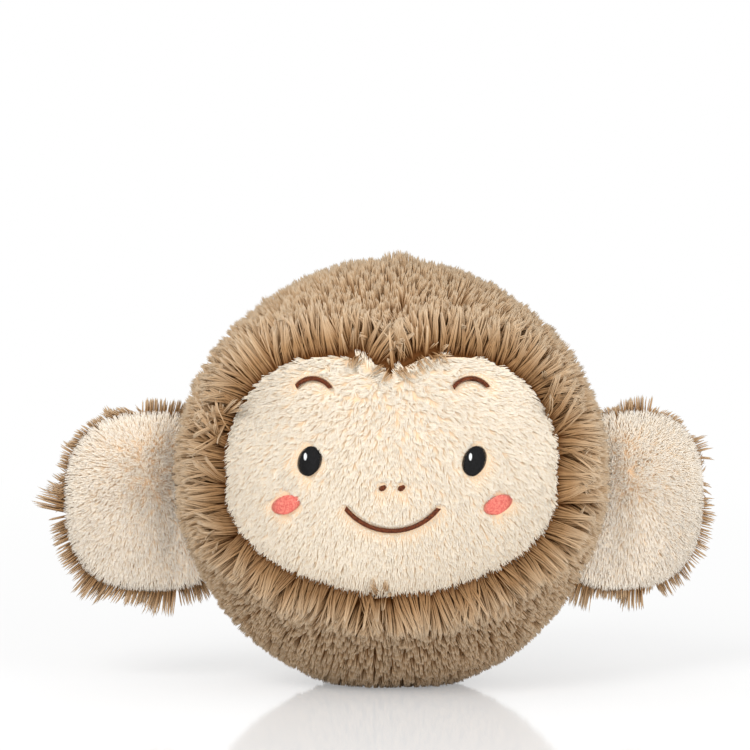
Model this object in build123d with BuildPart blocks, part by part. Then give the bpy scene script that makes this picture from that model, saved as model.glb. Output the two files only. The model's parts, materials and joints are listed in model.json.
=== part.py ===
"""Stuffed monkey-head toy: a round long-pile head with a short-pile face and two flap ears.

Millimetres. +Z is up and the face looks along -Y. The origin is on the floor, at the middle of the
flat that the stuffing settles into. Left and right are as seen when facing the toy, so left is -X.
"""

import math
import os

from build123d import *

# Head: a spheroid, turned about the Y axis, that has settled onto a small flat.
HEAD_RADIUS = 128.0
HEAD_HALF_DEPTH = 92.0
HEAD_CENTRE_Z = 123.0
POLE_FLAT = 0.1

# Layers, from the stuffing outwards. The pile is part of its panel.
LONG_PILE = 14.0
SHORT_PILE = 6.0
BACKING = 1.0
THREAD_HEIGHT = 1.4
SEAM_ALLOWANCE = 7.0
SEAM_THICKNESS = 4.0

# Face window: two round lobes under the hairline, which meet in a dip, over a wide oval chin.
LOBE_X, LOBE_Z, LOBE_RADIUS = 35.0, 140.0, 61.0
JAW_Z, JAW_HALF_WIDTH, JAW_HALF_HEIGHT = 121.0, 88.5, 56.0
BACKING_MARGIN = 16.0

# Embroidery, placed on the face by its X and Z.
EYE_X, EYE_Z = 48.0, 141.0
EYE_WIDTH, EYE_HEIGHT = 14.4, 17.0
GLINT_WIDTH, GLINT_HEIGHT = 2.6, 4.2
GLINT_SHIFT_X, GLINT_SHIFT_Z = -2.4, 2.6
BROW_X, BROW_Z = 46.0, 183.0
BROW_HALF_SPAN, BROW_RISE = 10.0, 5.0
MOUTH_HALF_SPAN, MOUTH_Z, MOUTH_SAG = 27.0, 114.0, 13.0
CORD_STITCH = 3.4
NOSTRIL_X, NOSTRIL_Z = 5.5, 126.0
NOSTRIL_WIDTH, NOSTRIL_HEIGHT = 4.6, 3.4
CHEEK_X, CHEEK_Z = 62.0, 115.0
CHEEK_WIDTH, CHEEK_HEIGHT = 17.0, 11.0

# Ears: flat pillows that fold about the line where they are sewn into the side seam.
EAR_HINGE_X = 131.5
EAR_CENTRE_OUT = 11.0
EAR_CENTRE_Z = 110.0
EAR_RADIUS = 54.0
EAR_HALF_THICK = 16.0
EAR_WALL = 6.0
EAR_ROOT_HALF_THICK = 2.0
EAR_ROOT_SPREAD_DEG = 22.0
EAR_ROOT_DEPTH = 24.0
EAR_GAP = 1.2
# How far each ear leans back from the side seam's plane when the toy stands at rest.
EAR_REST_DEG = {"left": 0.0, "right": 28.0}

# Hand-sewn closing at the bottom of the back seam.
CLOSING_STITCHES = 9
CLOSING_FROM_DEG, CLOSING_TO_DEG = 22.0, 60.0
CLOSING_THREAD_RADIUS = 0.6
CLOSING_LENGTH = 8.0

FRONT = Plane.XZ
REACH = 2 * HEAD_RADIUS


def spheroid(radius, half_depth, centre):
    """A ball flattened from front to back, with a small flat at each of its two poles."""
    x, y, z = centre
    with BuildPart() as form:
        with BuildSketch(Plane((x, y, z))):
            Ellipse(radius, half_depth)
            Rectangle(2 * radius, 2 * (half_depth - POLE_FLAT), mode=Mode.INTERSECT)
            split(bisect_by=Plane.YZ)
        revolve(axis=Axis((x, y, z), (0, 1, 0)))
    return form.part


def head_form(grow):
    """The head's form, that much larger than its stuffing all round."""
    radius = HEAD_RADIUS - LONG_PILE + grow
    half_depth = HEAD_HALF_DEPTH - LONG_PILE + grow
    return spheroid(radius, half_depth, (0, 0, HEAD_CENTRE_Z))


def face_outline(margin=0):
    """The window for the face, brought in by a margin."""
    with BuildSketch() as outline:
        with Locations((-LOBE_X, LOBE_Z), (LOBE_X, LOBE_Z)):
            Circle(LOBE_RADIUS - margin)
        with Locations((0, JAW_Z)):
            Ellipse(JAW_HALF_WIDTH - margin, JAW_HALF_HEIGHT - margin)
    return outline.sketch


def prism(profile, depth=REACH):
    """A profile drawn on the front, carried straight back to the side seam."""
    with BuildPart() as bar:
        with BuildSketch(FRONT):
            add(profile)
        extrude(amount=depth)
    return bar.part


STUFFING = head_form(0)
PILE = head_form(LONG_PILE)
FACE_SKIN = head_form(SHORT_PILE)
STITCH_SKIN = head_form(SHORT_PILE + THREAD_HEIGHT)
BACKING_SKIN = head_form(-BACKING)
WELT_SKIN = head_form(-SEAM_ALLOWANCE)
FACE_WINDOW = prism(face_outline())


def save(piece, name):
    """Labels a finished piece and writes it as its own node."""
    piece.part.label = name
    export_step(piece.part, f"parts/{name}.step")


def side_plane(side):
    """A plane through the middle whose top side holds that half of the toy."""
    return Plane.YZ if side > 0 else -Plane.YZ


os.makedirs("parts", exist_ok=True)
SIDES = {"left": -1, "right": 1}

# Ladder stitches that close the stuffing hole, bridging the back seam.
with BuildPart() as closing_stitches:
    for step in range(CLOSING_STITCHES):
        share = step / (CLOSING_STITCHES - 1)
        turn = math.radians(CLOSING_FROM_DEG + share * (CLOSING_TO_DEG - CLOSING_FROM_DEG))
        along_y = (HEAD_HALF_DEPTH - LONG_PILE + 3) * math.cos(turn)
        up_z = HEAD_CENTRE_Z - (HEAD_RADIUS - LONG_PILE + 3) * math.sin(turn)
        with Locations((0, along_y, up_z)):
            Cylinder(CLOSING_THREAD_RADIUS, CLOSING_LENGTH, rotation=(0, 90, 0))
save(closing_stitches, "closing_stitches")

# Four long-pile panels, joined down the middle and round the sides.
for name, side in SIDES.items():
    with BuildPart() as head_front:
        add(PILE)
        add(STUFFING, mode=Mode.SUBTRACT)
        add(FACE_WINDOW, mode=Mode.SUBTRACT)
        split(bisect_by=FRONT)
        split(bisect_by=side_plane(side))
        split(bisect_by=Plane.XY)
    save(head_front, f"head_front_{name}")

    with BuildPart() as head_back:
        add(PILE)
        add(STUFFING, mode=Mode.SUBTRACT)
        add(closing_stitches.part, mode=Mode.SUBTRACT)
        split(bisect_by=FRONT, keep=Keep.BOTTOM)
        split(bisect_by=side_plane(side))
        split(bisect_by=Plane.XY)
    save(head_back, f"head_back_{name}")

# Short-pile face, sewn into the window.
with BuildPart() as face_panel:
    add(FACE_SKIN)
    add(STUFFING, mode=Mode.SUBTRACT)
    add(FACE_WINDOW, mode=Mode.INTERSECT)
save(face_panel, "face_panel")

# Non-woven sheet that carries the embroidery behind the face.
with BuildPart() as face_backing:
    add(STUFFING)
    add(BACKING_SKIN, mode=Mode.SUBTRACT)
    add(prism(face_outline(BACKING_MARGIN)), mode=Mode.INTERSECT)
save(face_backing, "face_backing")

# Seam allowances, turned in towards the stuffing.
with BuildPart() as face_seam:
    add(STUFFING)
    add(WELT_SKIN, mode=Mode.SUBTRACT)
    add(FACE_WINDOW, mode=Mode.INTERSECT)
    add(prism(face_outline(SEAM_THICKNESS)), mode=Mode.SUBTRACT)
save(face_seam, "face_seam")

with BuildPart() as side_seam:
    add(STUFFING)
    add(WELT_SKIN, mode=Mode.SUBTRACT)
    with BuildSketch(FRONT.offset(-SEAM_THICKNESS / 2)):
        with Locations((0, HEAD_CENTRE_Z)):
            Circle(REACH)
    extrude(amount=SEAM_THICKNESS, mode=Mode.INTERSECT)
save(side_seam, "side_seam")

with BuildPart() as middle_seam:
    add(STUFFING)
    add(WELT_SKIN, mode=Mode.SUBTRACT)
    with Locations((0, 0, HEAD_CENTRE_Z)):
        Box(SEAM_THICKNESS, REACH, REACH, mode=Mode.INTERSECT)
    add(side_seam.part, mode=Mode.SUBTRACT)
    add(FACE_WINDOW, mode=Mode.SUBTRACT)
save(middle_seam, "middle_seam")

# Fibre stuffing, pressed round everything that stands into it.
with BuildPart() as head_stuffing:
    add(STUFFING)
    for piece in (face_backing, face_seam, side_seam, middle_seam):
        add(piece.part, mode=Mode.SUBTRACT)
save(head_stuffing, "head_stuffing")


def embroider(profile, name, cut=None):
    """Satin stitches of that outline, standing on the face's short pile."""
    with BuildPart() as stitches:
        add(STITCH_SKIN)
        add(FACE_SKIN, mode=Mode.SUBTRACT)
        add(prism(profile), mode=Mode.INTERSECT)
        if cut is not None:
            add(prism(cut), mode=Mode.SUBTRACT)
    save(stitches, name)


def oval(x, z, width, height):
    """An upright oval patch of stitches."""
    with BuildSketch() as patch:
        with Locations((x, z)):
            Ellipse(width / 2, height / 2)
    return patch.sketch


def stitched_arc(x, z, half_span, rise):
    """A line of satin stitches along an arc; a negative rise hangs down."""
    with BuildSketch() as band:
        with BuildLine():
            ThreePointArc((x - half_span, z), (x, z + rise), (x + half_span, z))
        trace(line_width=CORD_STITCH)
    return band.sketch


for name, side in SIDES.items():
    glint = oval(side * EYE_X + GLINT_SHIFT_X, EYE_Z + GLINT_SHIFT_Z, GLINT_WIDTH, GLINT_HEIGHT)
    embroider(oval(side * EYE_X, EYE_Z, EYE_WIDTH, EYE_HEIGHT), f"eye_{name}", cut=glint)
    embroider(glint, f"eye_glint_{name}")
    embroider(stitched_arc(side * BROW_X, BROW_Z, BROW_HALF_SPAN, BROW_RISE), f"brow_{name}")
    embroider(oval(side * CHEEK_X, CHEEK_Z, CHEEK_WIDTH, CHEEK_HEIGHT), f"cheek_{name}")
    nostril = oval(side * NOSTRIL_X, NOSTRIL_Z, NOSTRIL_WIDTH, NOSTRIL_HEIGHT)
    embroider(nostril, f"nostril_{name}")
embroider(stitched_arc(0, MOUTH_Z, MOUTH_HALF_SPAN, -MOUTH_SAG), "mouth")


def ear_plan(side, points):
    """An outline seen from above, carried up past the ear, with X counted outwards from the fold."""
    with BuildPart() as column:
        with BuildSketch():
            with BuildLine():
                Polyline([(side * (EAR_HINGE_X + out), y) for out, y in points], close=True)
            make_face()
        extrude(amount=REACH)
    return column.part


def ear_pillow(side, wall):
    """A thick lens, round from the front, set in from the ear's surface by that wall."""
    centre = (side * (EAR_HINGE_X + EAR_CENTRE_OUT), 0, EAR_CENTRE_Z)
    return spheroid(EAR_RADIUS - wall, EAR_HALF_THICK - wall, centre)


def lean_back(piece, side, angle):
    """Turns an ear's piece about its fold, towards the back of the head."""
    fold = Axis((side * EAR_HINGE_X, 0, 0), (0, 0, 1))
    return piece.rotate(fold, side * angle)


HEAD_CLEARANCE = head_form(LONG_PILE + EAR_GAP)
EAR_TIP = 2 * EAR_RADIUS
EAR_SLOPE = math.tan(math.radians(EAR_ROOT_SPREAD_DEG))
for name, side in SIDES.items():
    # The stuffing starts a wall's thickness outside the fold.
    inner_half_thick = EAR_SLOPE * (EAR_TIP - EAR_WALL)
    with BuildPart() as flat_stuffing:
        add(ear_pillow(side, EAR_WALL))
        points = [(EAR_WALL, 0), (EAR_TIP, inner_half_thick), (EAR_TIP, -inner_half_thick)]
        add(ear_plan(side, points), mode=Mode.INTERSECT)
    with BuildPart() as ear_stuffing:
        add(lean_back(flat_stuffing.part, side, EAR_REST_DEG[name]))
    save(ear_stuffing, f"ear_stuffing_{name}")

    # Two panels, sewn round the rim, come down to a thin root that follows the head.
    tip_half_thick = EAR_ROOT_HALF_THICK + EAR_SLOPE * EAR_TIP
    upper = [
        (-EAR_ROOT_DEPTH, EAR_ROOT_HALF_THICK),
        (0, EAR_ROOT_HALF_THICK),
        (EAR_TIP, tip_half_thick),
    ]
    lower = [(out, -y) for out, y in reversed(upper)]
    for layer, keep in (("front", Keep.TOP), ("back", Keep.BOTTOM)):
        with BuildPart() as flat_panel:
            add(ear_pillow(side, 0))
            add(ear_plan(side, upper + lower), mode=Mode.INTERSECT)
            add(flat_stuffing.part, mode=Mode.SUBTRACT)
            add(HEAD_CLEARANCE, mode=Mode.SUBTRACT)
            split(bisect_by=FRONT, keep=keep)
        with BuildPart() as ear_panel:
            add(lean_back(flat_panel.part, side, EAR_REST_DEG[name]))
        save(ear_panel, f"ear_{layer}_{name}")
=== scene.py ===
import json
import math

import bpy
import numpy as np
from mathutils import Matrix, Vector
from mathutils.kdtree import KDTree


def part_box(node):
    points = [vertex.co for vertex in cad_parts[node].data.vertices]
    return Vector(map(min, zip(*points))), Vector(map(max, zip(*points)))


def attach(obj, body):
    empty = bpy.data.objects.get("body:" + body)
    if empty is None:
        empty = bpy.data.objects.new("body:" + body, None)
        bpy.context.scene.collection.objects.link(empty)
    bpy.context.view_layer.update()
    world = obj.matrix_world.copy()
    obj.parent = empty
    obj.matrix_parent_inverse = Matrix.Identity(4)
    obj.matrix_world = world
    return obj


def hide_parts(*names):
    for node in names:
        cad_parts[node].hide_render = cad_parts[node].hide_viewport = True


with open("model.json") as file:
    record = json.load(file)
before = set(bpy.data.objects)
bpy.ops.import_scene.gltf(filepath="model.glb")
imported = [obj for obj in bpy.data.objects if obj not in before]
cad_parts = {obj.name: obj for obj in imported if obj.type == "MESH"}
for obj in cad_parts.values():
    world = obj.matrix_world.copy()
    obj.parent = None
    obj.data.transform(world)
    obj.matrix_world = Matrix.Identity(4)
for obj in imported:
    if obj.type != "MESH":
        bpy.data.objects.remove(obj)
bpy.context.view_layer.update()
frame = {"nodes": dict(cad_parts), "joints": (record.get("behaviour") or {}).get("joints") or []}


# ---------------------------------------------------------------------------------------------
# Head form
# The stuffed shape that all five head panels are sewn to fit: a ball flattened from front to
# back. The face's window has two lobes under the hairline and a wide oval chin.
# ---------------------------------------------------------------------------------------------

stuffing_low, stuffing_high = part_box("head_stuffing")
STUFFING_OUT = stuffing_high.x
STUFFING_DEPTH = stuffing_high.y
HEAD_Z = (stuffing_low.z + stuffing_high.z) / 2

window_low, window_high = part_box("face_panel")
JAW_OUT, JAW_UP = window_high.x, 0.056
LOBE_X, LOBE_RADIUS = 0.035, 0.061
WINDOW_Z = window_low.z + JAW_UP
LOBE_RISE = window_high.z - LOBE_RADIUS - WINDOW_Z

SEGMENTS, RINGS = 192, 120
WINDOW_RING = 35
SEAM_LIFT, PANEL_LIFT, FACE_LIFT = 0.0014, 0.0030, 0.0028
SEAM_WIDTH = 0.006


def unit(vectors):
    return vectors / np.maximum(np.linalg.norm(vectors, axis=-1, keepdims=True), 1e-12)


def read(items, field, width=3):
    """One field of many Blender items, as a table of numbers."""
    found = np.empty(len(items) * width)
    items.foreach_get(field, found)
    return found.reshape(-1, width)


def window_reach(turn):
    """How far the window's edge is from its middle, in that direction."""
    across, up = np.cos(turn), np.sin(turn)
    reach = 1 / np.hypot(across / JAW_OUT, up / JAW_UP)
    for lobe_x in (-LOBE_X, LOBE_X):
        along = across * lobe_x + up * LOBE_RISE
        away = lobe_x**2 + LOBE_RISE**2
        reach = np.maximum(reach, along + np.sqrt(along**2 - away + LOBE_RADIUS**2))
    return reach


def past_window(x, z):
    """How far a place on the front is outside the face's window, and less than 0 inside it."""
    turn = np.arctan2(z - WINDOW_Z, x)
    return np.hypot(x, z - WINDOW_Z) - window_reach(turn)


def swell(places, lift):
    """Moves places on the stuffing's surface out from it."""
    middle = np.array([0, 0, HEAD_Z])
    size = np.array([STUFFING_OUT, STUFFING_DEPTH, STUFFING_OUT])
    return places + unit((places - middle) / size**2) * lift[:, None]


bpy.ops.object.select_all(action="DESELECT")
bpy.ops.mesh.primitive_uv_sphere_add(
    segments=SEGMENTS, ring_count=RINGS, radius=1, rotation=(math.pi / 2, 0, 0)
)
bpy.ops.object.transform_apply(rotation=True)
form = bpy.context.object
form.name = "head_form"

ball = unit(read(form.data.vertices, "co"))
turn = np.arctan2(ball[:, 2], ball[:, 0])
ring = np.arccos(np.clip(-ball[:, 1], -1, 1)) / (math.pi / RINGS)
wide = np.sqrt(np.clip(1 - ball[:, 1] ** 2, 0, 1))
window_wide = math.sin(WINDOW_RING * math.pi / RINGS)
across, up = np.cos(turn), np.sin(turn)
edge = window_reach(turn)
inner = wide / window_wide
outer = np.clip((wide - window_wide) / (1 - window_wide), 0, 1)
is_face = ring <= WINDOW_RING + 0.01
is_back = ring > RINGS / 2 + 0.01
flat_x = np.where(is_face, inner * edge, edge + (STUFFING_OUT - edge) * outer) * across
flat_up = np.where(is_face, inner * edge, edge * (1 - outer) + STUFFING_OUT * outer) * up
centre_z = np.where(is_face, WINDOW_Z, WINDOW_Z + (HEAD_Z - WINDOW_Z) * outer)
flat_x = np.where(is_back, wide * STUFFING_OUT * across, flat_x)
flat_z = np.where(is_back, HEAD_Z + wide * STUFFING_OUT * up, centre_z + flat_up)
bulge = 1 - (flat_x**2 + (flat_z - HEAD_Z) ** 2) / STUFFING_OUT**2
depth = STUFFING_DEPTH * np.sqrt(np.clip(bulge, 0, 1))
places = np.stack([flat_x, np.where(is_back, depth, -depth), flat_z], axis=1)

to_window = np.where(is_back, 1, np.abs(past_window(flat_x, flat_z)))
to_seam = np.minimum(to_window, np.where(is_face, 1, np.abs(flat_x)))
to_seam = np.minimum(to_seam, np.abs(places[:, 1]))
full_lift = np.where(is_face, FACE_LIFT, PANEL_LIFT)
lift = SEAM_LIFT + (full_lift - SEAM_LIFT) * (1 - np.exp(-to_seam / SEAM_WIDTH))
form.data.vertices.foreach_set("co", swell(places, lift).ravel())
form.data.update()


def cut_panel(name, keep):
    """Copies the faces of the head's form that a test of their middle keeps, as a panel."""
    panel = form.copy()
    panel.data = form.data.copy()
    panel.name = panel.data.name = name
    bpy.context.collection.objects.link(panel)
    bpy.ops.object.select_all(action="DESELECT")
    bpy.context.view_layer.objects.active = panel
    panel.select_set(True)
    bpy.context.tool_settings.mesh_select_mode = (False, False, True)
    middles = read(panel.data.polygons, "center")
    panel.data.polygons.foreach_set("select", ~keep(middles))
    bpy.ops.object.mode_set(mode="EDIT")
    bpy.ops.mesh.delete(type="FACE")
    bpy.ops.object.mode_set(mode="OBJECT")
    return panel


# ---------------------------------------------------------------------------------------------
# Pile
# Fake fur is a knitted back with fibres standing out of it. Each fibre here is thin, tapered,
# bent and blunt, with a length and a tone of its own, and neighbours draw together into tufts.
# ---------------------------------------------------------------------------------------------

FLOOR_GAP = 0.0004
BLUNT_FROM = 0.86
UPRIGHT_SHARE = 0.45
TIP_TAPER = 0.4
FIBRE_SIDES = 3
FABRIC_THICK = 0.0008
# Place on the pile chart of the darker root colour, painted shade for the gaps between fibres.
ROOT_SHADE_TONE = (0.5, 0.02)
PATCH_SCALE, PATCH_SHARE, STREAK_SCALE = 28, 0.35, 1800


def scatter(skin, gap, seed):
    """Random places on a panel about that gap apart, the panel's normals there, and the draws."""
    mesh = skin.data
    mesh.calc_loop_triangles()
    place = read(mesh.vertices, "co")
    normal = np.round(read(mesh.vertex_normals, "vector"), 4)
    # Edit mode leaves the faces in no fixed order, so they are put in one before any draw.
    corner = np.sort(read(mesh.loop_triangles, "vertices").astype(int), axis=1)
    corner = corner[np.lexsort(corner.T[::-1])]
    a, b, c = (place[corner[:, k]] for k in range(3))
    area = np.linalg.norm(np.cross(b - a, c - a), axis=1) / 2
    count = int(area.sum() / gap**2)
    draw = np.random.default_rng(seed)
    share = (np.arange(count) + draw.random(count)) / count
    chosen = np.searchsorted(np.cumsum(area) / area.sum(), share).clip(0, len(area) - 1)
    u, v = draw.random((2, count))
    over = u + v > 1
    u[over], v[over] = 1 - u[over], 1 - v[over]
    weight = np.stack([1 - u - v, u, v], axis=1)[:, :, None]
    roots = (place[corner[chosen]] * weight).sum(1)
    normals = unit((normal[corner[chosen]] * weight).sum(1))
    return roots, normals, draw


def tuft_of(roots, gap, size, draw):
    """Picks a leading fibre for each tuft, and tells every fibre which tuft it belongs to."""
    leaders = draw.choice(len(roots), max(1, int(len(roots) * (gap / size) ** 2)), replace=False)
    tree = KDTree(len(leaders))
    for number, leader in enumerate(leaders):
        tree.insert(roots[leader], number)
    tree.balance()
    return leaders, np.array([tree.find(root)[1] for root in roots])


def lean(normals, comb, angle):
    """Directions that leave the panel at that angle from upright, towards the way it is combed."""
    flat = comb - (comb * normals).sum(1, keepdims=True) * normals
    return normals * np.cos(angle)[:, None] + unit(flat) * np.sin(angle)[:, None]


def spin_fibres(name, roots, normals, tips, width, tone, sections, softness):
    """One mesh of blunt fibres that leave their roots upright and bend to their tips."""
    count = len(roots)
    reach = tips - roots
    length = np.linalg.norm(reach, axis=1, keepdims=True)
    start = (1 - UPRIGHT_SHARE) * reach + UPRIGHT_SHARE * normals * length
    along = np.append(np.linspace(0, BLUNT_FROM, sections), 1)[None, :, None]
    line = roots[:, None] + along * start[:, None] + along**2 * (reach - start)[:, None]
    axis = unit(reach)
    side = unit(np.cross(axis, unit(np.roll(axis, 1, axis=1) + 0.3)))
    other = np.cross(axis, side)
    turns = (np.arange(FIBRE_SIDES) * 2 * math.pi / FIBRE_SIDES)[None, :, None]
    spoke = side[:, None] * np.cos(turns) + other[:, None] * np.sin(turns)
    taper = (1 - along[:, :-1, :, None] ** 2 * TIP_TAPER) * width[:, None, None, None] / 2
    rings = line[:, :-1, None] + spoke[:, None] * taper
    points = np.concatenate([rings.reshape(count, -1, 3), line[:, -1:]], axis=1)
    points[..., 2] = np.maximum(points[..., 2], FLOOR_GAP)
    faces = [(0, 2, 1)]
    last = FIBRE_SIDES * (sections - 1)
    for low in range(0, last, FIBRE_SIDES):
        for k in range(FIBRE_SIDES):
            here, after = low + k, low + (k + 1) % FIBRE_SIDES
            above, after_above = here + FIBRE_SIDES, after + FIBRE_SIDES
            faces += [(here, after, after_above), (here, after_above, above)]
    tip = last + FIBRE_SIDES
    faces += [(last + k, last + (k + 1) % FIBRE_SIDES, tip) for k in range(FIBRE_SIDES)]
    per_fibre = points.shape[1]
    index = np.array(faces)[None] + (np.arange(count) * per_fibre)[:, None, None]
    mesh = bpy.data.meshes.new(name)
    mesh.from_pydata(points.reshape(-1, 3), [], index.reshape(-1, 3))
    height = np.append(np.repeat(along[0, :-1, 0], FIBRE_SIDES), 1)
    chart = np.stack([np.repeat(tone, per_fibre), np.tile(height, count)], axis=1)
    layer = mesh.uv_layers.new(name="pile")
    corner = read(mesh.loops, "vertex_index", 1).astype(int).ravel()
    layer.uv.foreach_set("vector", chart[corner].ravel())
    mesh.shade_smooth()
    round_out = spoke[:, None].repeat(sections, 1).reshape(count, -1, 3)
    round_out = np.concatenate([round_out, axis[:, None]], axis=1)
    soft = unit(round_out * (1 - softness) + normals[:, None] * softness)
    mesh.normals_split_custom_set_from_vertices(soft.reshape(-1, 3))
    fibres = bpy.data.objects.new(name, mesh)
    bpy.context.collection.objects.link(fibres)
    return fibres


def back_with_fabric(skin, thickness):
    """Gives a panel the thickness of its knitted back, with the pile's root tone all over: painted
    shade for the back seen deep between the fibres.
    """
    bpy.ops.object.select_all(action="DESELECT")
    bpy.context.view_layer.objects.active = skin
    skin.select_set(True)
    for layer in list(skin.data.uv_layers):
        skin.data.uv_layers.remove(layer)
    solid = skin.modifiers.new("back", "SOLIDIFY")
    solid.thickness = thickness
    bpy.ops.object.modifier_apply(modifier=solid.name)
    layer = skin.data.uv_layers.new(name="pile")
    layer.uv.foreach_set("vector", np.tile(ROOT_SHADE_TONE, len(skin.data.loops)))
    bpy.ops.object.shade_smooth()


def finish_panel(skin, pile, body, node, material):
    """Joins a panel's fabric and pile into one piece and puts it in its CAD node's place."""
    back_with_fabric(skin, FABRIC_THICK)
    for fibres in pile:
        fibres.select_set(True)
    bpy.context.view_layer.objects.active = skin
    bpy.ops.object.join()
    skin.data.materials.clear()
    skin.data.materials.append(material)
    skin.name = skin.data.name = node + "_fabric"
    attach(skin, body)
    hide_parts(node)
    return skin


def screen(red, green, blue):
    """A colour as a screen shows it, from 0 to 255, made linear for a material."""
    return tuple((c / 255) ** 2.2 for c in (red, green, blue)) + (1,)


def pile_material(name, stops, tone_range, rough_range):
    """Fibres that pale from root to tip, differ tuft by tuft, and are faintly streaked. The darker
    root is painted shade for the gaps deep between the fibres.

    The first stop is the root, the second is the tip, and any others lie between them.
    """
    made = bpy.data.materials.new(name)
    made.use_nodes = True
    nodes, links = made.node_tree.nodes, made.node_tree.links
    shader = nodes["Principled BSDF"]
    chart = nodes.new("ShaderNodeUVMap")
    chart.uv_map = "pile"
    parts = nodes.new("ShaderNodeSeparateXYZ")
    links.new(chart.outputs["UV"], parts.inputs["Vector"])
    ramp = nodes.new("ShaderNodeValToRGB")
    ramp.color_ramp.interpolation = "EASE"
    # The root stop is painted shade: darker where the gaps between fibres lie in shade.
    for number, (place, tint) in enumerate(stops):
        if number < 2:
            stop = ramp.color_ramp.elements[number]
        else:
            stop = ramp.color_ramp.elements.new(place)
        stop.position, stop.color = place, tint
    links.new(parts.outputs["Y"], ramp.inputs["Fac"])
    where = nodes.new("ShaderNodeTexCoord")
    patches = nodes.new("ShaderNodeTexNoise")
    patches.inputs["Scale"].default_value = PATCH_SCALE
    links.new(where.outputs["Object"], patches.inputs["Vector"])
    blend = nodes.new("ShaderNodeMath")
    blend.operation = "MULTIPLY_ADD"
    blend.inputs[1].default_value = PATCH_SHARE
    links.new(patches.outputs["Fac"], blend.inputs[0])
    tone = nodes.new("ShaderNodeMath")
    tone.operation = "MULTIPLY"
    tone.inputs[1].default_value = 1 - PATCH_SHARE
    links.new(parts.outputs["X"], tone.inputs[0])
    links.new(tone.outputs[0], blend.inputs[2])
    value = nodes.new("ShaderNodeMapRange")
    value.inputs["To Min"].default_value, value.inputs["To Max"].default_value = tone_range
    links.new(blend.outputs[0], value.inputs["Value"])
    shift = nodes.new("ShaderNodeHueSaturation")
    links.new(ramp.outputs["Color"], shift.inputs["Color"])
    links.new(value.outputs["Result"], shift.inputs["Value"])
    links.new(shift.outputs["Color"], shader.inputs["Base Color"])
    streaks = nodes.new("ShaderNodeTexNoise")
    streaks.inputs["Scale"].default_value = STREAK_SCALE
    links.new(where.outputs["Object"], streaks.inputs["Vector"])
    rough = nodes.new("ShaderNodeMapRange")
    rough.inputs["To Min"].default_value, rough.inputs["To Max"].default_value = rough_range
    links.new(streaks.outputs["Fac"], rough.inputs["Value"])
    links.new(rough.outputs["Result"], shader.inputs["Roughness"])
    bump = nodes.new("ShaderNodeBump")
    bump.inputs["Strength"].default_value = 0.25
    bump.inputs["Distance"].default_value = 0.0002
    links.new(streaks.outputs["Fac"], bump.inputs["Height"])
    links.new(bump.outputs["Normal"], shader.inputs["Normal"])
    shader.inputs["Specular IOR Level"].default_value = 0.1
    return made


# ---------------------------------------------------------------------------------------------
# Embroidery
# Eyes, glints, brows, nostrils, cheeks and mouth are satin stitch: threads laid side by side
# across each shape, pulled tight so that they sink into the short pile round them.
# ---------------------------------------------------------------------------------------------

SHORT_PILE = 0.006
THREAD_WIDTH, THREAD_STEP = 0.00062, 0.00046
THREAD_SINK, THREAD_ARCH = 0.0012, 0.0009
FULL_ARCH_SPAN, END_DIP = 0.004, 0.0011
STITCH_SLANT = math.radians(14)
EYE_HALF_WIDE, EYE_HALF_HIGH = 0.0072, 0.0085
GLINT_ABOVE = 0.0007
BROW_HALF_SPAN, BROW_RISE, CORD_HALF_WIDE = 0.010, 0.005, 0.0014
MOUTH_HALF_SPAN, MOUTH_SAG = 0.027, 0.013
pressed = []


def on_face(x, z, height):
    """The place on the face at that height above the stuffing."""
    out, deep = STUFFING_OUT + height, STUFFING_DEPTH + height
    y = -deep * np.sqrt(np.clip(1 - (x**2 + (z - HEAD_Z) ** 2) / out**2, 0, 1))
    return np.stack([x, y, z], axis=-1)


def satin(node, starts, ends, slot, material, height=0.0):
    """Sews threads from one outline point to another, and remembers the patch they press down."""
    starts, ends = np.array(starts), np.array(ends)
    count, stations, sides = len(starts), 7, 5
    share = np.linspace(0, 1, stations)
    flat = starts[:, None] + (ends - starts)[:, None] * share[None, :, None]
    long = np.linalg.norm(ends - starts, axis=1)
    arch = THREAD_ARCH * np.clip(long / FULL_ARCH_SPAN, 0.4, 1)[:, None]
    arch = arch * np.sin(math.pi * share)[None] ** 0.5
    dip = END_DIP * (np.abs(share - 0.5) * 2)[None] ** 6
    level = SHORT_PILE - THREAD_SINK + height + arch - dip
    line = on_face(flat[..., 0], flat[..., 1], level)
    along = unit(np.gradient(line, axis=1))
    out = unit((line - np.array([0, 0, HEAD_Z])) / np.array([1, 0.7, 1]))
    side = unit(np.cross(along, out))
    turns = np.arange(sides) * 2 * math.pi / sides
    thin = THREAD_WIDTH / 2 * (1 - 0.45 * (np.abs(share - 0.5) * 2) ** 4)[None, :, None, None]
    ring = side[:, :, None] * np.cos(turns)[:, None] + out[:, :, None] * np.sin(turns)[:, None]
    points = (line[:, :, None] + ring * thin).reshape(-1, 3)
    faces = []
    for thread in range(count):
        low = thread * stations * sides
        for s in range(stations - 1):
            for k in range(sides):
                a, b = low + s * sides + k, low + s * sides + (k + 1) % sides
                faces.append((a, b, b + sides, a + sides))
        faces.append(tuple(low + k for k in reversed(range(sides))))
        faces.append(tuple(low + (stations - 1) * sides + k for k in range(sides)))
    mesh = bpy.data.meshes.new(node + "_threads")
    mesh.from_pydata(points, [], faces)
    mesh.shade_smooth()
    threads = bpy.data.objects.new(mesh.name, mesh)
    bpy.context.collection.objects.link(threads)
    mesh.materials.append(material)
    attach(threads, "head")
    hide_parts(node)
    middles = (starts + ends) / 2
    pressed.append((middles, long / 2))


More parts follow.
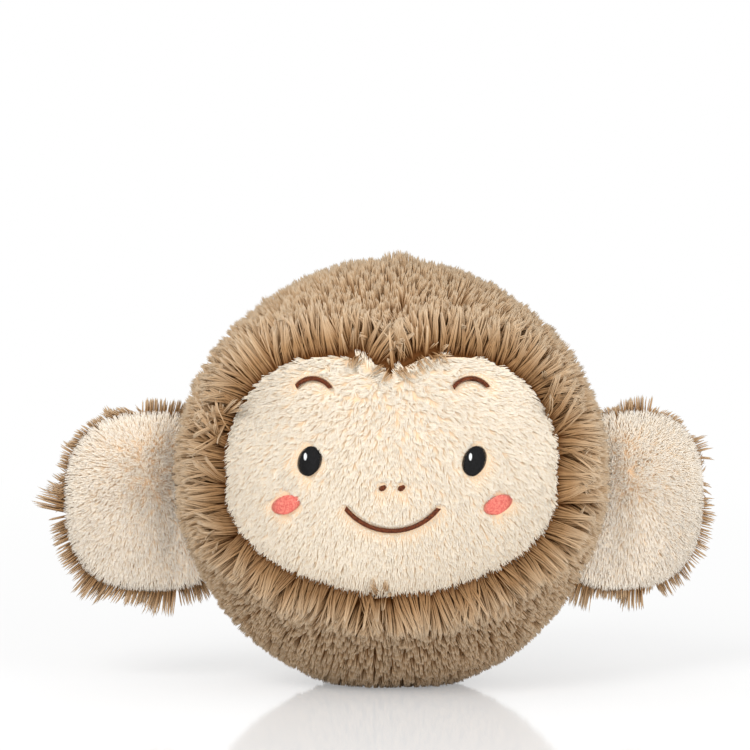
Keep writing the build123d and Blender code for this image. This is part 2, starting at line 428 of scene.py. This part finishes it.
def oval_stitches(x, z, half_wide, half_high):
    """Threads across an oval, side by side from its bottom to its top."""
    rows = np.arange(-half_high + THREAD_STEP / 2, half_high, THREAD_STEP)
    half = half_wide * np.sqrt(1 - (rows / half_high) ** 2)
    slope = math.tan(STITCH_SLANT) * half
    return (
        [(x - h, z + r - t) for h, r, t in zip(half, rows, slope)],
        [(x + h, z + r + t) for h, r, t in zip(half, rows, slope)],
    )


def arc_stitches(x, z, half_span, rise):
    """Short threads across a line that follows an arc through both ends and the rise."""
    radius = (half_span**2 + rise**2) / (2 * abs(rise))
    sweep = math.asin(half_span / radius)
    count = int(2 * sweep * radius / THREAD_STEP)
    sign = math.copysign(1, rise)
    starts, ends = [], []
    for angle in np.linspace(-sweep, sweep, count):
        for reached, half in ((starts, -CORD_HALF_WIDE), (ends, CORD_HALF_WIDE)):
            away = radius + half
            at = angle + half / radius * 0.5
            up = rise - sign * radius + sign * away * math.cos(at)
            reached.append((x + away * math.sin(at), z + up))
    return starts, ends


def thread_material(name, dark, light):
    """Mercerised thread, a little uneven in tone, with a soft gloss along it."""
    made = bpy.data.materials.new(name)
    made.use_nodes = True
    nodes, links = made.node_tree.nodes, made.node_tree.links
    shader = nodes["Principled BSDF"]
    shader.inputs["Specular IOR Level"].default_value = 0.22
    where = nodes.new("ShaderNodeTexCoord")
    twist = nodes.new("ShaderNodeTexNoise")
    twist.inputs["Scale"].default_value = 900
    twist.inputs["Detail"].default_value = 3
    links.new(where.outputs["Object"], twist.inputs["Vector"])
    ramp = nodes.new("ShaderNodeValToRGB")
    ramp.color_ramp.elements[0].position, ramp.color_ramp.elements[0].color = 0.35, dark
    ramp.color_ramp.elements[1].position, ramp.color_ramp.elements[1].color = 0.65, light
    links.new(twist.outputs["Fac"], ramp.inputs["Fac"])
    links.new(ramp.outputs["Color"], shader.inputs["Base Color"])
    rough = nodes.new("ShaderNodeMapRange")
    rough.inputs["To Min"].default_value, rough.inputs["To Max"].default_value = 0.42, 0.6
    links.new(twist.outputs["Fac"], rough.inputs["Value"])
    links.new(rough.outputs["Result"], shader.inputs["Roughness"])
    bump = nodes.new("ShaderNodeBump")
    bump.inputs["Strength"].default_value = 0.3
    bump.inputs["Distance"].default_value = 0.0001
    links.new(twist.outputs["Fac"], bump.inputs["Height"])
    links.new(bump.outputs["Normal"], shader.inputs["Normal"])
    return made


black_thread = thread_material("black_thread", screen(10, 10, 11), screen(26, 25, 27))
white_thread = thread_material("white_thread", screen(225, 226, 228), screen(245, 245, 246))
brown_thread = thread_material("brown_thread", screen(74, 36, 20), screen(118, 62, 34))
red_thread = thread_material("red_thread", screen(214, 102, 92), screen(236, 142, 126))


def node_middle(node):
    low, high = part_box(node)
    return (low.x + high.x) / 2, (low.z + high.z) / 2, low, high


for side in ("left", "right"):
    x, z, low, high = node_middle(f"eye_{side}")
    rows = oval_stitches(x, z, EYE_HALF_WIDE, EYE_HALF_HIGH)
    satin(f"eye_{side}", *rows, "black_thread", black_thread)
    x, z, low, high = node_middle(f"eye_glint_{side}")
    rows = oval_stitches(x, z, (high.x - low.x) / 2, (high.z - low.z) / 2)
    satin(f"eye_glint_{side}", *rows, "white_thread", white_thread, GLINT_ABOVE)
    x, z, low, high = node_middle(f"brow_{side}")
    rows = arc_stitches(x, high.z - CORD_HALF_WIDE - BROW_RISE, BROW_HALF_SPAN, BROW_RISE)
    satin(f"brow_{side}", *rows, "brown_thread", brown_thread)
    x, z, low, high = node_middle(f"cheek_{side}")
    rows = oval_stitches(x, z, (high.x - low.x) / 2, (high.z - low.z) / 2)
    satin(f"cheek_{side}", *rows, "red_thread", red_thread)
    x, z, low, high = node_middle(f"nostril_{side}")
    rows = oval_stitches(x, z, (high.x - low.x) / 2, (high.z - low.z) / 2)
    satin(f"nostril_{side}", *rows, "brown_thread", brown_thread)
x, z, low, high = node_middle("mouth")
rows = arc_stitches(x, low.z + CORD_HALF_WIDE + MOUTH_SAG, MOUTH_HALF_SPAN, -MOUTH_SAG)
satin("mouth", *rows, "brown_thread", brown_thread)


def to_stitches(roots):
    """How far each place on the face is from the nearest embroidered thread."""
    nearest = np.ones(len(roots))
    for middles, halves in pressed:
        tree = KDTree(len(middles))
        for number, (x, z) in enumerate(middles):
            tree.insert((x, 0, z), number)
        tree.balance()
        low, high = middles.min(0) - 0.03, middles.max(0) + 0.03
        near = (roots[:, [0, 2]] > low).all(1) & (roots[:, [0, 2]] < high).all(1)
        for k in np.flatnonzero(near):
            _, number, away = tree.find((roots[k, 0], 0, roots[k, 2]))
            nearest[k] = min(nearest[k], away - halves[number])
    return nearest


# ---------------------------------------------------------------------------------------------
# Face panel
# Short, dense cream plush, brushed downwards and out to the seam. Round the embroidery the
# pile is pressed down, and at the window's edge it spills a little over the seam.
# ---------------------------------------------------------------------------------------------

FACE_GAP, FACE_FIBRE, FACE_WIDTH = 0.00070, 0.0045, 0.00052
FACE_TUFT, FACE_PULL = 0.0026, 0.12
FACE_LEAN_DEG, FACE_OUTWARD = 69, 12
PRESSED_WIDTH, PRESSED_LENGTH = 0.005, 0.25
EDGE_WIDTH, EDGE_EXTRA = 0.004, 0.35

# Root stop warmer and darker than the tip: painted shade for the gaps between the face's fibres.
cream_pile = pile_material(
    "cream_pile",
    [(0.0, screen(255, 222, 184)), (1.0, screen(255, 245, 228)), (0.5, screen(255, 236, 208))],
    (0.96, 1.03), (0.6, 0.85),
)
skin = cut_panel("face_skin", lambda m: (m[:, 1] < 0) & (past_window(m[:, 0], m[:, 2]) < 0))
roots, normals, draw = scatter(skin, FACE_GAP, 11)
away = to_stitches(roots)
roots, normals, away = roots[away > 0], normals[away > 0], away[away > 0]
count = len(roots)
inside = -past_window(roots[:, 0], roots[:, 2])
leaders, tuft = tuft_of(roots, FACE_GAP, FACE_TUFT, draw)
comb = np.tile([0.0, 0.0, -1.0], (count, 1)) + draw.normal(0, 0.2, (len(leaders), 3))[tuft]
comb += np.stack([roots[:, 0], np.zeros(count), roots[:, 2] - WINDOW_Z], axis=1) * FACE_OUTWARD
angle = np.radians(FACE_LEAN_DEG + draw.normal(0, 5, count))
length = FACE_FIBRE * draw.uniform(0.85, 1.1, count)
length *= np.clip(away / PRESSED_WIDTH, PRESSED_LENGTH, 1)
length *= 1 + EDGE_EXTRA * np.exp(-inside / EDGE_WIDTH)
tips = roots + lean(normals, comb, angle) * length[:, None]
tips += (tips[leaders][tuft] - tips) * FACE_PULL
tone = 0.5 * draw.random(len(leaders))[tuft] + 0.5 * draw.random(count)
width = FACE_WIDTH * draw.uniform(0.8, 1.2, count)
pile = spin_fibres("face_pile", roots, normals, tips, width, tone, 2, 0.9)
finish_panel(skin, [pile], "head", "face_panel", cream_pile)


# ---------------------------------------------------------------------------------------------
# Long-pile head panels
# Two front panels round the face and two behind the side seam, in shaggy taupe fur. Where the
# fur meets the face it falls outwards and shows its whole length, with a few strays inwards.
# ---------------------------------------------------------------------------------------------

FUR_GAP, BACK_GAP, FUR_WIDTH, MANE_WIDTH = 0.00120, 0.00136, 0.00105, 0.00085
FUR_LENGTH, MANE_LENGTH = 0.0125, 0.026
MANE_SPREAD, CROWN_EXTRA = 0.017, 0.006
TUFT_SIZE, LOCK_SIZE = 0.0032, 0.0095
TUFT_PULL, MANE_TUFT_PULL = 0.5, 0.15
LOCK_PULL, MANE_LOCK_PULL = 0.10, 0.14
FUR_LEAN_DEG, MANE_LEAN_DEG, STRAY_LEAN_DEG = 7, 45, 62
CURL_X, CURL_EXTRA = 0.005, 0.006
FOREHEAD_HALF, CHIN_X, CHIN_HALF = 0.028, -0.007, 0.005
STRAY_FROM, STRAY_LENGTH = 0.005, 0.013

# Dark root stop: painted shade for the deep gaps between the fur's tufts.
brown_pile = pile_material(
    "brown_pile",
    [(0.0, screen(106, 66, 32)), (1.0, screen(220, 196, 166)), (0.36, screen(167, 129, 90)),
     (0.8, screen(200, 169, 134))],
    (0.84, 1.14), (0.5, 0.75),
)


def from_window(roots):
    """How far each root is outside the window, and the way straight out from its edge."""
    x, z = roots[:, 0], roots[:, 2]
    gap = past_window(x, z)
    small = 0.0005
    across = (past_window(x + small, z) - gap) / small
    up = (past_window(x, z + small) - gap) / small
    gap = np.where(roots[:, 1] < 0, gap, 1)
    return gap, np.stack([across, np.zeros(len(x)), up], axis=1)


def grow_fur(skin, name, gap, seed):
    """The long pile of a head panel, as one mesh of long fibres and one of short ones."""
    roots, normals, draw = scatter(skin, gap, seed)
    count = len(roots)
    leaders, tuft = tuft_of(roots, gap, TUFT_SIZE, draw)
    heads, lock = tuft_of(roots, gap, LOCK_SIZE, draw)
    past, outwards = from_window(roots)
    mane = np.exp(-((past / MANE_SPREAD) ** 2))
    down = np.tile([0.0, 0.0, -1.0], (count, 1)) + np.array([0.0, 0.6, 0.0])
    parting = np.exp(-np.abs(roots[:, 0]) / 0.004) * (1 - mane)
    comb = outwards * mane[:, None] * 3 + down * (1 - mane)[:, None] * 0.7
    comb[:, 0] += np.sign(roots[:, 0]) * parting * 1.5
    lock_sway = draw.normal(0, 0.6, (len(heads), 3))[lock]
    comb += lock_sway + draw.normal(0, 0.65, (len(leaders), 3))[tuft]
    angle = FUR_LEAN_DEG + MANE_LEAN_DEG * mane + 6 * parting
    angle = angle + draw.normal(0, 5, len(leaders))[tuft]
    lock_lean = draw.normal(0, 8, len(heads))[lock]
    angle += (lock_lean + draw.normal(0, 7, len(leaders))[tuft]) * mane
    angle = np.radians(np.clip(angle + draw.normal(0, 4, count), 0, 78))
    crown = np.clip(normals[:, 2], 0, 1) ** 2 * (1 - mane)
    length = FUR_LENGTH + (MANE_LENGTH - FUR_LENGTH) * mane + CROWN_EXTRA * crown
    curl = np.exp(-(((roots[:, 0] - CURL_X) / 0.006) ** 2) - (roots[:, 1] / 0.012) ** 2)
    length += CURL_EXTRA * curl * (roots[:, 2] > HEAD_Z)
    length *= draw.uniform(0.93, 1.06, len(leaders))[tuft] * draw.uniform(0.93, 1.05, count)
    x, above = roots[:, 0], roots[:, 2] > WINDOW_Z
    stray = np.where(above, np.abs(x) < FOREHEAD_HALF, np.abs(x - CHIN_X) < CHIN_HALF)
    stray &= past < STRAY_FROM
    stray &= (draw.random(len(leaders)) < 0.8)[tuft]
    fallen = -2 * outwards + draw.normal(0, 0.5, (len(leaders), 3))[tuft]
    comb = np.where(stray[:, None], fallen, comb)
    angle = np.where(stray, np.radians(STRAY_LEAN_DEG), angle)
    length = np.where(stray, STRAY_LENGTH * draw.uniform(0.7, 1.1, count), length)
    tips = roots + lean(normals, comb, angle) * length[:, None]
    lock_pull = (LOCK_PULL + MANE_LOCK_PULL * mane) * ~stray
    tips += (tips[heads][lock] - tips) * lock_pull[:, None]
    tips += (tips[leaders][tuft] - tips) * (TUFT_PULL + MANE_TUFT_PULL * mane)[:, None]
    tone = 0.55 * draw.random(len(leaders))[tuft] + 0.45 * draw.random(count)
    width = (FUR_WIDTH + (MANE_WIDTH - FUR_WIDTH) * mane) * draw.uniform(0.75, 1.2, count)
    width *= np.where(stray, 0.6, 1)
    pile = []
    for part, sections in ((mane > 0.2, 3), (mane <= 0.2, 2)):
        if part.any():
            fibres = (roots[part], normals[part], tips[part], width[part], tone[part])
            pile.append(spin_fibres(f"{name}_{sections}", *fibres, sections, 0.55))
    return pile


for side, sign in (("left", -1), ("right", 1)):
    for half, toward in (("front", -1), ("back", 1)):
        node = f"head_{half}_{side}"

        def belongs(m):
            on_panel = (m[:, 0] * sign > 0) & (m[:, 1] * toward > 0)
            return on_panel & ((m[:, 1] > 0) | (past_window(m[:, 0], m[:, 2]) > 0))

        skin = cut_panel(node, belongs)
        gap = FUR_GAP if half == "front" else BACK_GAP
        pile = grow_fur(skin, node + "_pile", gap, 31 + 2 * sign + toward)
        finish_panel(skin, pile, "head", node, brown_pile)

bpy.data.objects.remove(form)


# ---------------------------------------------------------------------------------------------
# Ears
# Flat pillows sewn into the side seam: peach-cream plush in front, long taupe fur behind, whose
# ends stand out past the rim. They are pinched thin at the root, where they fold.
# ---------------------------------------------------------------------------------------------

EAR_INSET, EAR_HALF_THICK = 0.0055, 0.0105
EAR_SQUARE = 2.7
EAR_PINCH = 0.0022
EAR_SPREAD = math.tan(math.radians(20))
EAR_TUFT, FRINGE_TUFT, FRINGE_LOCK = 0.0028, 0.0034, 0.0135
EAR_EDGE_FROM, FRINGE_FROM = 0.72, 0.62
WHORL = 0.014
EAR_REST = {"left": 0.0, "right": math.radians(28)}
EAR_GAP, EAR_FIBRE, EAR_FIBRE_WIDTH = 0.00070, 0.0052, 0.00052
FRINGE_GAP, BACK_LENGTH = 0.00110, 0.0125
FRINGE_LENGTH, FRINGE_RISE = {"left": 0.0310, "right": 0.0240}, 0.4

# Root stop darker than the tip: painted shade for the gaps between the ear's fibres.
peach_pile = pile_material(
    "peach_pile",
    [(0.0, screen(255, 218, 178)), (1.0, screen(255, 248, 236)), (0.5, screen(255, 234, 206)),
     (0.82, screen(255, 242, 224))],
    (0.95, 1.03), (0.6, 0.85),
)


def fold_of(side):
    """How far out the ear's fold is."""
    joint = next(j for j in frame["joints"] if j["name"] == f"ear_{side}_fold")
    return abs(joint["pos_m"][0])


def lean_back(pieces, side, sign):
    """Turns an ear's finished meshes about its fold to where it stands at rest."""
    fold = Matrix.Translation((sign * fold_of(side), 0, 0))
    turn = fold @ Matrix.Rotation(sign * EAR_REST[side], 4, "Z") @ fold.inverted()
    for piece in pieces:
        piece.data.transform(turn)


def ear_skin(name, side, sign, toward):
    """Half of a squarish lens, pinched thin towards the root and let into the side seam."""
    low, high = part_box("ear_front_left")
    fold, tip = fold_of(side), -low.x
    radius = (high.z - low.z) / 2
    middle_x, middle_z = tip - radius, (low.z + high.z) / 2
    bpy.ops.object.select_all(action="DESELECT")
    bpy.ops.mesh.primitive_uv_sphere_add(
        segments=96, ring_count=48, radius=1, rotation=(math.pi / 2, 0, 0)
    )
    bpy.ops.object.transform_apply(rotation=True)
    ear = bpy.context.object
    ear.name = ear.data.name = name
    unit_place = read(ear.data.vertices, "co")
    x, y, z = unit_place.T
    wide = np.hypot(x, z)
    rounder = (np.abs(x) ** EAR_SQUARE + np.abs(z) ** EAR_SQUARE) ** (1 / EAR_SQUARE)
    grow = np.where(wide > 1e-6, wide / np.maximum(rounder, 1e-9), 1)
    rim = radius - EAR_INSET
    out_x = middle_x + sign * x * grow * rim
    out_z = middle_z + z * grow * rim
    limit = EAR_PINCH + EAR_SPREAD * np.maximum(out_x - fold, 0)
    thick = np.abs(y) * EAR_HALF_THICK
    thick = thick * limit / (thick**4 + limit**4) ** 0.25
    placed = np.stack([sign * out_x, np.sign(y) * thick, out_z], axis=1)
    ear.data.vertices.foreach_set("co", placed.ravel())
    ear.data.update()
    bpy.context.tool_settings.mesh_select_mode = (False, False, True)
    middles = read(ear.data.polygons, "center")
    sunk = STUFFING_OUT + 0.008
    hidden = middles[:, 0] ** 2 + (middles[:, 2] - HEAD_Z) ** 2 < sunk**2
    ear.data.polygons.foreach_set("select", hidden | (middles[:, 1] * toward < 0))
    bpy.ops.object.mode_set(mode="EDIT")
    bpy.ops.mesh.delete(type="FACE")
    bpy.ops.mesh.select_all(action="SELECT")
    bpy.ops.mesh.normals_make_consistent(inside=False)
    bpy.ops.object.mode_set(mode="OBJECT")
    if read(ear.data.polygons, "normal")[:, 1].mean() * toward < 0:
        ear.data.flip_normals()
    ear.data.update()
    return ear, np.array([sign * middle_x, 0, middle_z]), rim


def ear_share(roots, middle, rim):
    """From 0 in the middle of the ear to 1 at its rim, and the way straight out."""
    out = (roots - middle) * np.array([1, 0, 1])
    square = (np.abs(out[:, 0]) ** EAR_SQUARE + np.abs(out[:, 2]) ** EAR_SQUARE) ** (1 / EAR_SQUARE)
    return square / rim, out


for side, sign in (("left", -1), ("right", 1)):
    skin, middle, rim = ear_skin(f"ear_front_{side}_skin", side, sign, -1)
    roots, normals, draw = scatter(skin, EAR_GAP, 51 + sign)
    count = len(roots)
    leaders, tuft = tuft_of(roots, EAR_GAP, EAR_TUFT, draw)
    share, out = ear_share(roots, middle, rim)
    edge_share = np.clip((share - EAR_EDGE_FROM) / (1 - EAR_EDGE_FROM), 0, 1)
    comb = out / (np.linalg.norm(out, axis=1, keepdims=True) + WHORL) + np.array([0, 0, -0.5])
    comb += unit(out) * edge_share[:, None]
    comb += draw.normal(0, 0.15, (len(leaders), 3))[tuft] + draw.normal(0, 0.22, (count, 3))
    length = EAR_FIBRE * draw.uniform(0.85, 1.12, count) * (1 + 0.25 * edge_share)
    tips = roots + unit(normals * 0.45 + comb) * length[:, None]
    tips += (tips[leaders][tuft] - tips) * 0.1
    tone = 0.5 * draw.random(len(leaders))[tuft] + 0.5 * draw.random(count)
    width = EAR_FIBRE_WIDTH * draw.uniform(0.8, 1.2, count)
    pile = [spin_fibres(f"ear_pile_{side}", roots, normals, tips, width, tone, 2, 0.9)]
    lean_back([skin] + pile, side, sign)
    finish_panel(skin, pile, f"ear_{side}", f"ear_front_{side}", peach_pile)

    skin, middle, rim = ear_skin(f"ear_back_{side}_skin", side, sign, 1)
    roots, normals, draw = scatter(skin, FRINGE_GAP, 71 + sign)
    count = len(roots)
    leaders, tuft = tuft_of(roots, FRINGE_GAP, FRINGE_TUFT, draw)
    heads, lock = tuft_of(roots, FRINGE_GAP, FRINGE_LOCK, draw)
    share, out = ear_share(roots, middle, rim)
    edge_share = np.clip((share - FRINGE_FROM) / (1 - FRINGE_FROM), 0, 1)
    comb = unit(out) * (0.5 + 1.5 * edge_share)[:, None] + np.array([0, 0, -0.5])
    comb += draw.normal(0, 0.55, (len(heads), 3))[lock]
    comb += draw.normal(0, 0.1, (len(leaders), 3))[tuft]
    drop = 1 - FRINGE_RISE * np.clip(unit(out)[:, 2] + 0.2, 0, 1)
    length = BACK_LENGTH + (FRINGE_LENGTH[side] * drop - BACK_LENGTH) * edge_share
    length *= draw.uniform(0.5, 1.12, len(heads))[lock] * draw.uniform(0.9, 1.05, count)
    tips = roots + unit(normals * 0.8 + comb) * length[:, None]
    tips += (tips[leaders][tuft] - tips) * 0.06
    tone = 0.55 * draw.random(len(leaders))[tuft] + 0.45 * draw.random(count)
    width = FUR_WIDTH * draw.uniform(0.75, 1.2, count)
    pile = [spin_fibres(f"ear_fringe_{side}", roots, normals, tips, width, tone, 3, 0.1)]
    lean_back([skin] + pile, side, sign)
    finish_panel(skin, pile, f"ear_{side}", f"ear_back_{side}", brown_pile)


# ---------------------------------------------------------------------------------------------
# Inside
# Fibre stuffing, the embroidery's non-woven backing, the folded seam allowances and the ladder
# stitches that close the stuffing hole. The panels hide them all.
# ---------------------------------------------------------------------------------------------


def woven_material(name, dark, light, scale, rough):
    """Loose or knitted fibre: two tones in fine grain, with a shallow bump."""
    made = bpy.data.materials.new(name)
    made.use_nodes = True
    nodes, links = made.node_tree.nodes, made.node_tree.links
    shader = nodes["Principled BSDF"]
    where = nodes.new("ShaderNodeTexCoord")
    grain = nodes.new("ShaderNodeTexNoise")
    grain.inputs["Scale"].default_value = scale
    grain.inputs["Detail"].default_value = 4
    links.new(where.outputs["Object"], grain.inputs["Vector"])
    ramp = nodes.new("ShaderNodeValToRGB")
    ramp.color_ramp.elements[0].position, ramp.color_ramp.elements[0].color = 0.3, dark
    ramp.color_ramp.elements[1].position, ramp.color_ramp.elements[1].color = 0.7, light
    links.new(grain.outputs["Fac"], ramp.inputs["Fac"])
    links.new(ramp.outputs["Color"], shader.inputs["Base Color"])
    bump = nodes.new("ShaderNodeBump")
    bump.inputs["Strength"].default_value = 0.5
    bump.inputs["Distance"].default_value = 0.0005
    links.new(grain.outputs["Fac"], bump.inputs["Height"])
    links.new(bump.outputs["Normal"], shader.inputs["Normal"])
    shader.inputs["Roughness"].default_value = rough
    return made


white_fibre = screen(222, 222, 220), screen(248, 248, 246)
off_white = screen(214, 214, 210), screen(240, 240, 236)
brown_knit = screen(112, 84, 60), screen(150, 118, 88)
wadding = woven_material("polyester_wadding", *white_fibre, 220, 0.95)
non_woven = woven_material("non_woven_backing", *off_white, 900, 0.9)
seam_knit = woven_material("knitted_back", *brown_knit, 1200, 0.9)
inner_finishes = {
    "head_stuffing": wadding,
    "ear_stuffing_left": wadding,
    "ear_stuffing_right": wadding,
    "face_backing": non_woven,
    "face_seam": seam_knit,
    "side_seam": seam_knit,
    "middle_seam": seam_knit,
    "closing_stitches": brown_thread,
}
for node, finish in inner_finishes.items():
    mesh = frame["nodes"][node].data
    mesh.materials.clear()
    mesh.materials.append(finish)


# ---------------------------------------------------------------------------------------------
# Setting
# A white, faintly glossy table that fades into a white background, two soft lamps and a long
# lens almost level with the head.
# ---------------------------------------------------------------------------------------------

CAMERA_FAR, CAMERA_UP_DEG = 2.4, 4.0
VIEW_WIDE = 0.450
AIM = Vector((-0.0099, 0, 0.186))
SENSOR = 36
TABLE_RADIUS = 6

bpy.ops.object.select_all(action="DESELECT")
bpy.ops.mesh.primitive_circle_add(vertices=96, radius=TABLE_RADIUS, fill_type="TRIFAN")
floor = bpy.context.object
floor.name = "floor"
table = bpy.data.materials.new("white_table")
table.use_nodes = True
nodes, links = table.node_tree.nodes, table.node_tree.links
shader = nodes["Principled BSDF"]
shader.inputs["Base Color"].default_value = (0.95, 0.95, 0.95, 1)
shader.inputs["Roughness"].default_value = 0.08
shader.inputs["Specular IOR Level"].default_value = 0.6
where = nodes.new("ShaderNodeTexCoord")
away = nodes.new("ShaderNodeVectorMath")
away.operation = "LENGTH"
links.new(where.outputs["Object"], away.inputs[0])
fade = nodes.new("ShaderNodeMapRange")
fade.interpolation_type = "SMOOTHSTEP"
fade.inputs["From Min"].default_value, fade.inputs["From Max"].default_value = 0.1, 1.3
fade.inputs["To Min"].default_value = 0.3
links.new(away.outputs["Value"], fade.inputs["Value"])
ray = nodes.new("ShaderNodeLightPath")
seen = nodes.new("ShaderNodeMath")
seen.operation = "MAXIMUM"
links.new(ray.outputs["Is Camera Ray"], seen.inputs[0])
links.new(ray.outputs["Is Glossy Ray"], seen.inputs[1])
share = nodes.new("ShaderNodeMath")
share.operation = "MULTIPLY"
links.new(fade.outputs["Result"], share.inputs[0])
links.new(seen.outputs[0], share.inputs[1])
white = nodes.new("ShaderNodeEmission")
white.inputs["Color"].default_value = (1, 1, 1, 1)
mixed = nodes.new("ShaderNodeMixShader")
links.new(share.outputs[0], mixed.inputs["Fac"])
links.new(shader.outputs["BSDF"], mixed.inputs[1])
links.new(white.outputs["Emission"], mixed.inputs[2])
links.new(mixed.outputs["Shader"], nodes["Material Output"].inputs["Surface"])
floor.data.materials.append(table)

world = bpy.data.worlds.new("studio")
bpy.context.scene.world = world
world.use_nodes = True
nodes, links = world.node_tree.nodes, world.node_tree.links
backdrop = nodes["Background"]
ray = nodes.new("ShaderNodeLightPath")
seen = nodes.new("ShaderNodeMath")
seen.operation = "MAXIMUM"
links.new(ray.outputs["Is Camera Ray"], seen.inputs[0])
links.new(ray.outputs["Is Glossy Ray"], seen.inputs[1])
strength = nodes.new("ShaderNodeMapRange")
strength.inputs["To Min"].default_value, strength.inputs["To Max"].default_value = 0.75, 1.0
links.new(seen.outputs[0], strength.inputs["Value"])
links.new(strength.outputs["Result"], backdrop.inputs["Strength"])
backdrop.inputs["Color"].default_value = (1, 1, 1, 1)

lamps = {
    "key": ((-0.9, -1.5, 1.5), 1.1, 23),
    "fill": ((1.2, -1.4, 0.7), 1.2, 13),
}
for name, (place, size, power) in lamps.items():
    lamp = bpy.data.lights.new(name, "AREA")
    lamp.size, lamp.energy = size, power
    holder = bpy.data.objects.new(name, lamp)
    holder.location = place
    toward_head = Vector((0, 0, HEAD_Z)) - Vector(place)
    holder.rotation_euler = toward_head.to_track_quat("-Z", "Y").to_euler()
    bpy.context.collection.objects.link(holder)

camera = bpy.data.objects.new("camera", bpy.data.cameras.new("camera"))
bpy.context.collection.objects.link(camera)
rise = math.radians(CAMERA_UP_DEG)
camera.location = AIM + Vector((0, -math.cos(rise), math.sin(rise))) * CAMERA_FAR
camera.rotation_euler = (AIM - camera.location).to_track_quat("-Z", "Y").to_euler()
camera.data.sensor_width = SENSOR
camera.data.lens = SENSOR * CAMERA_FAR / VIEW_WIDE
bpy.context.scene.camera = camera
bpy.context.scene.view_settings.view_transform = "Standard"
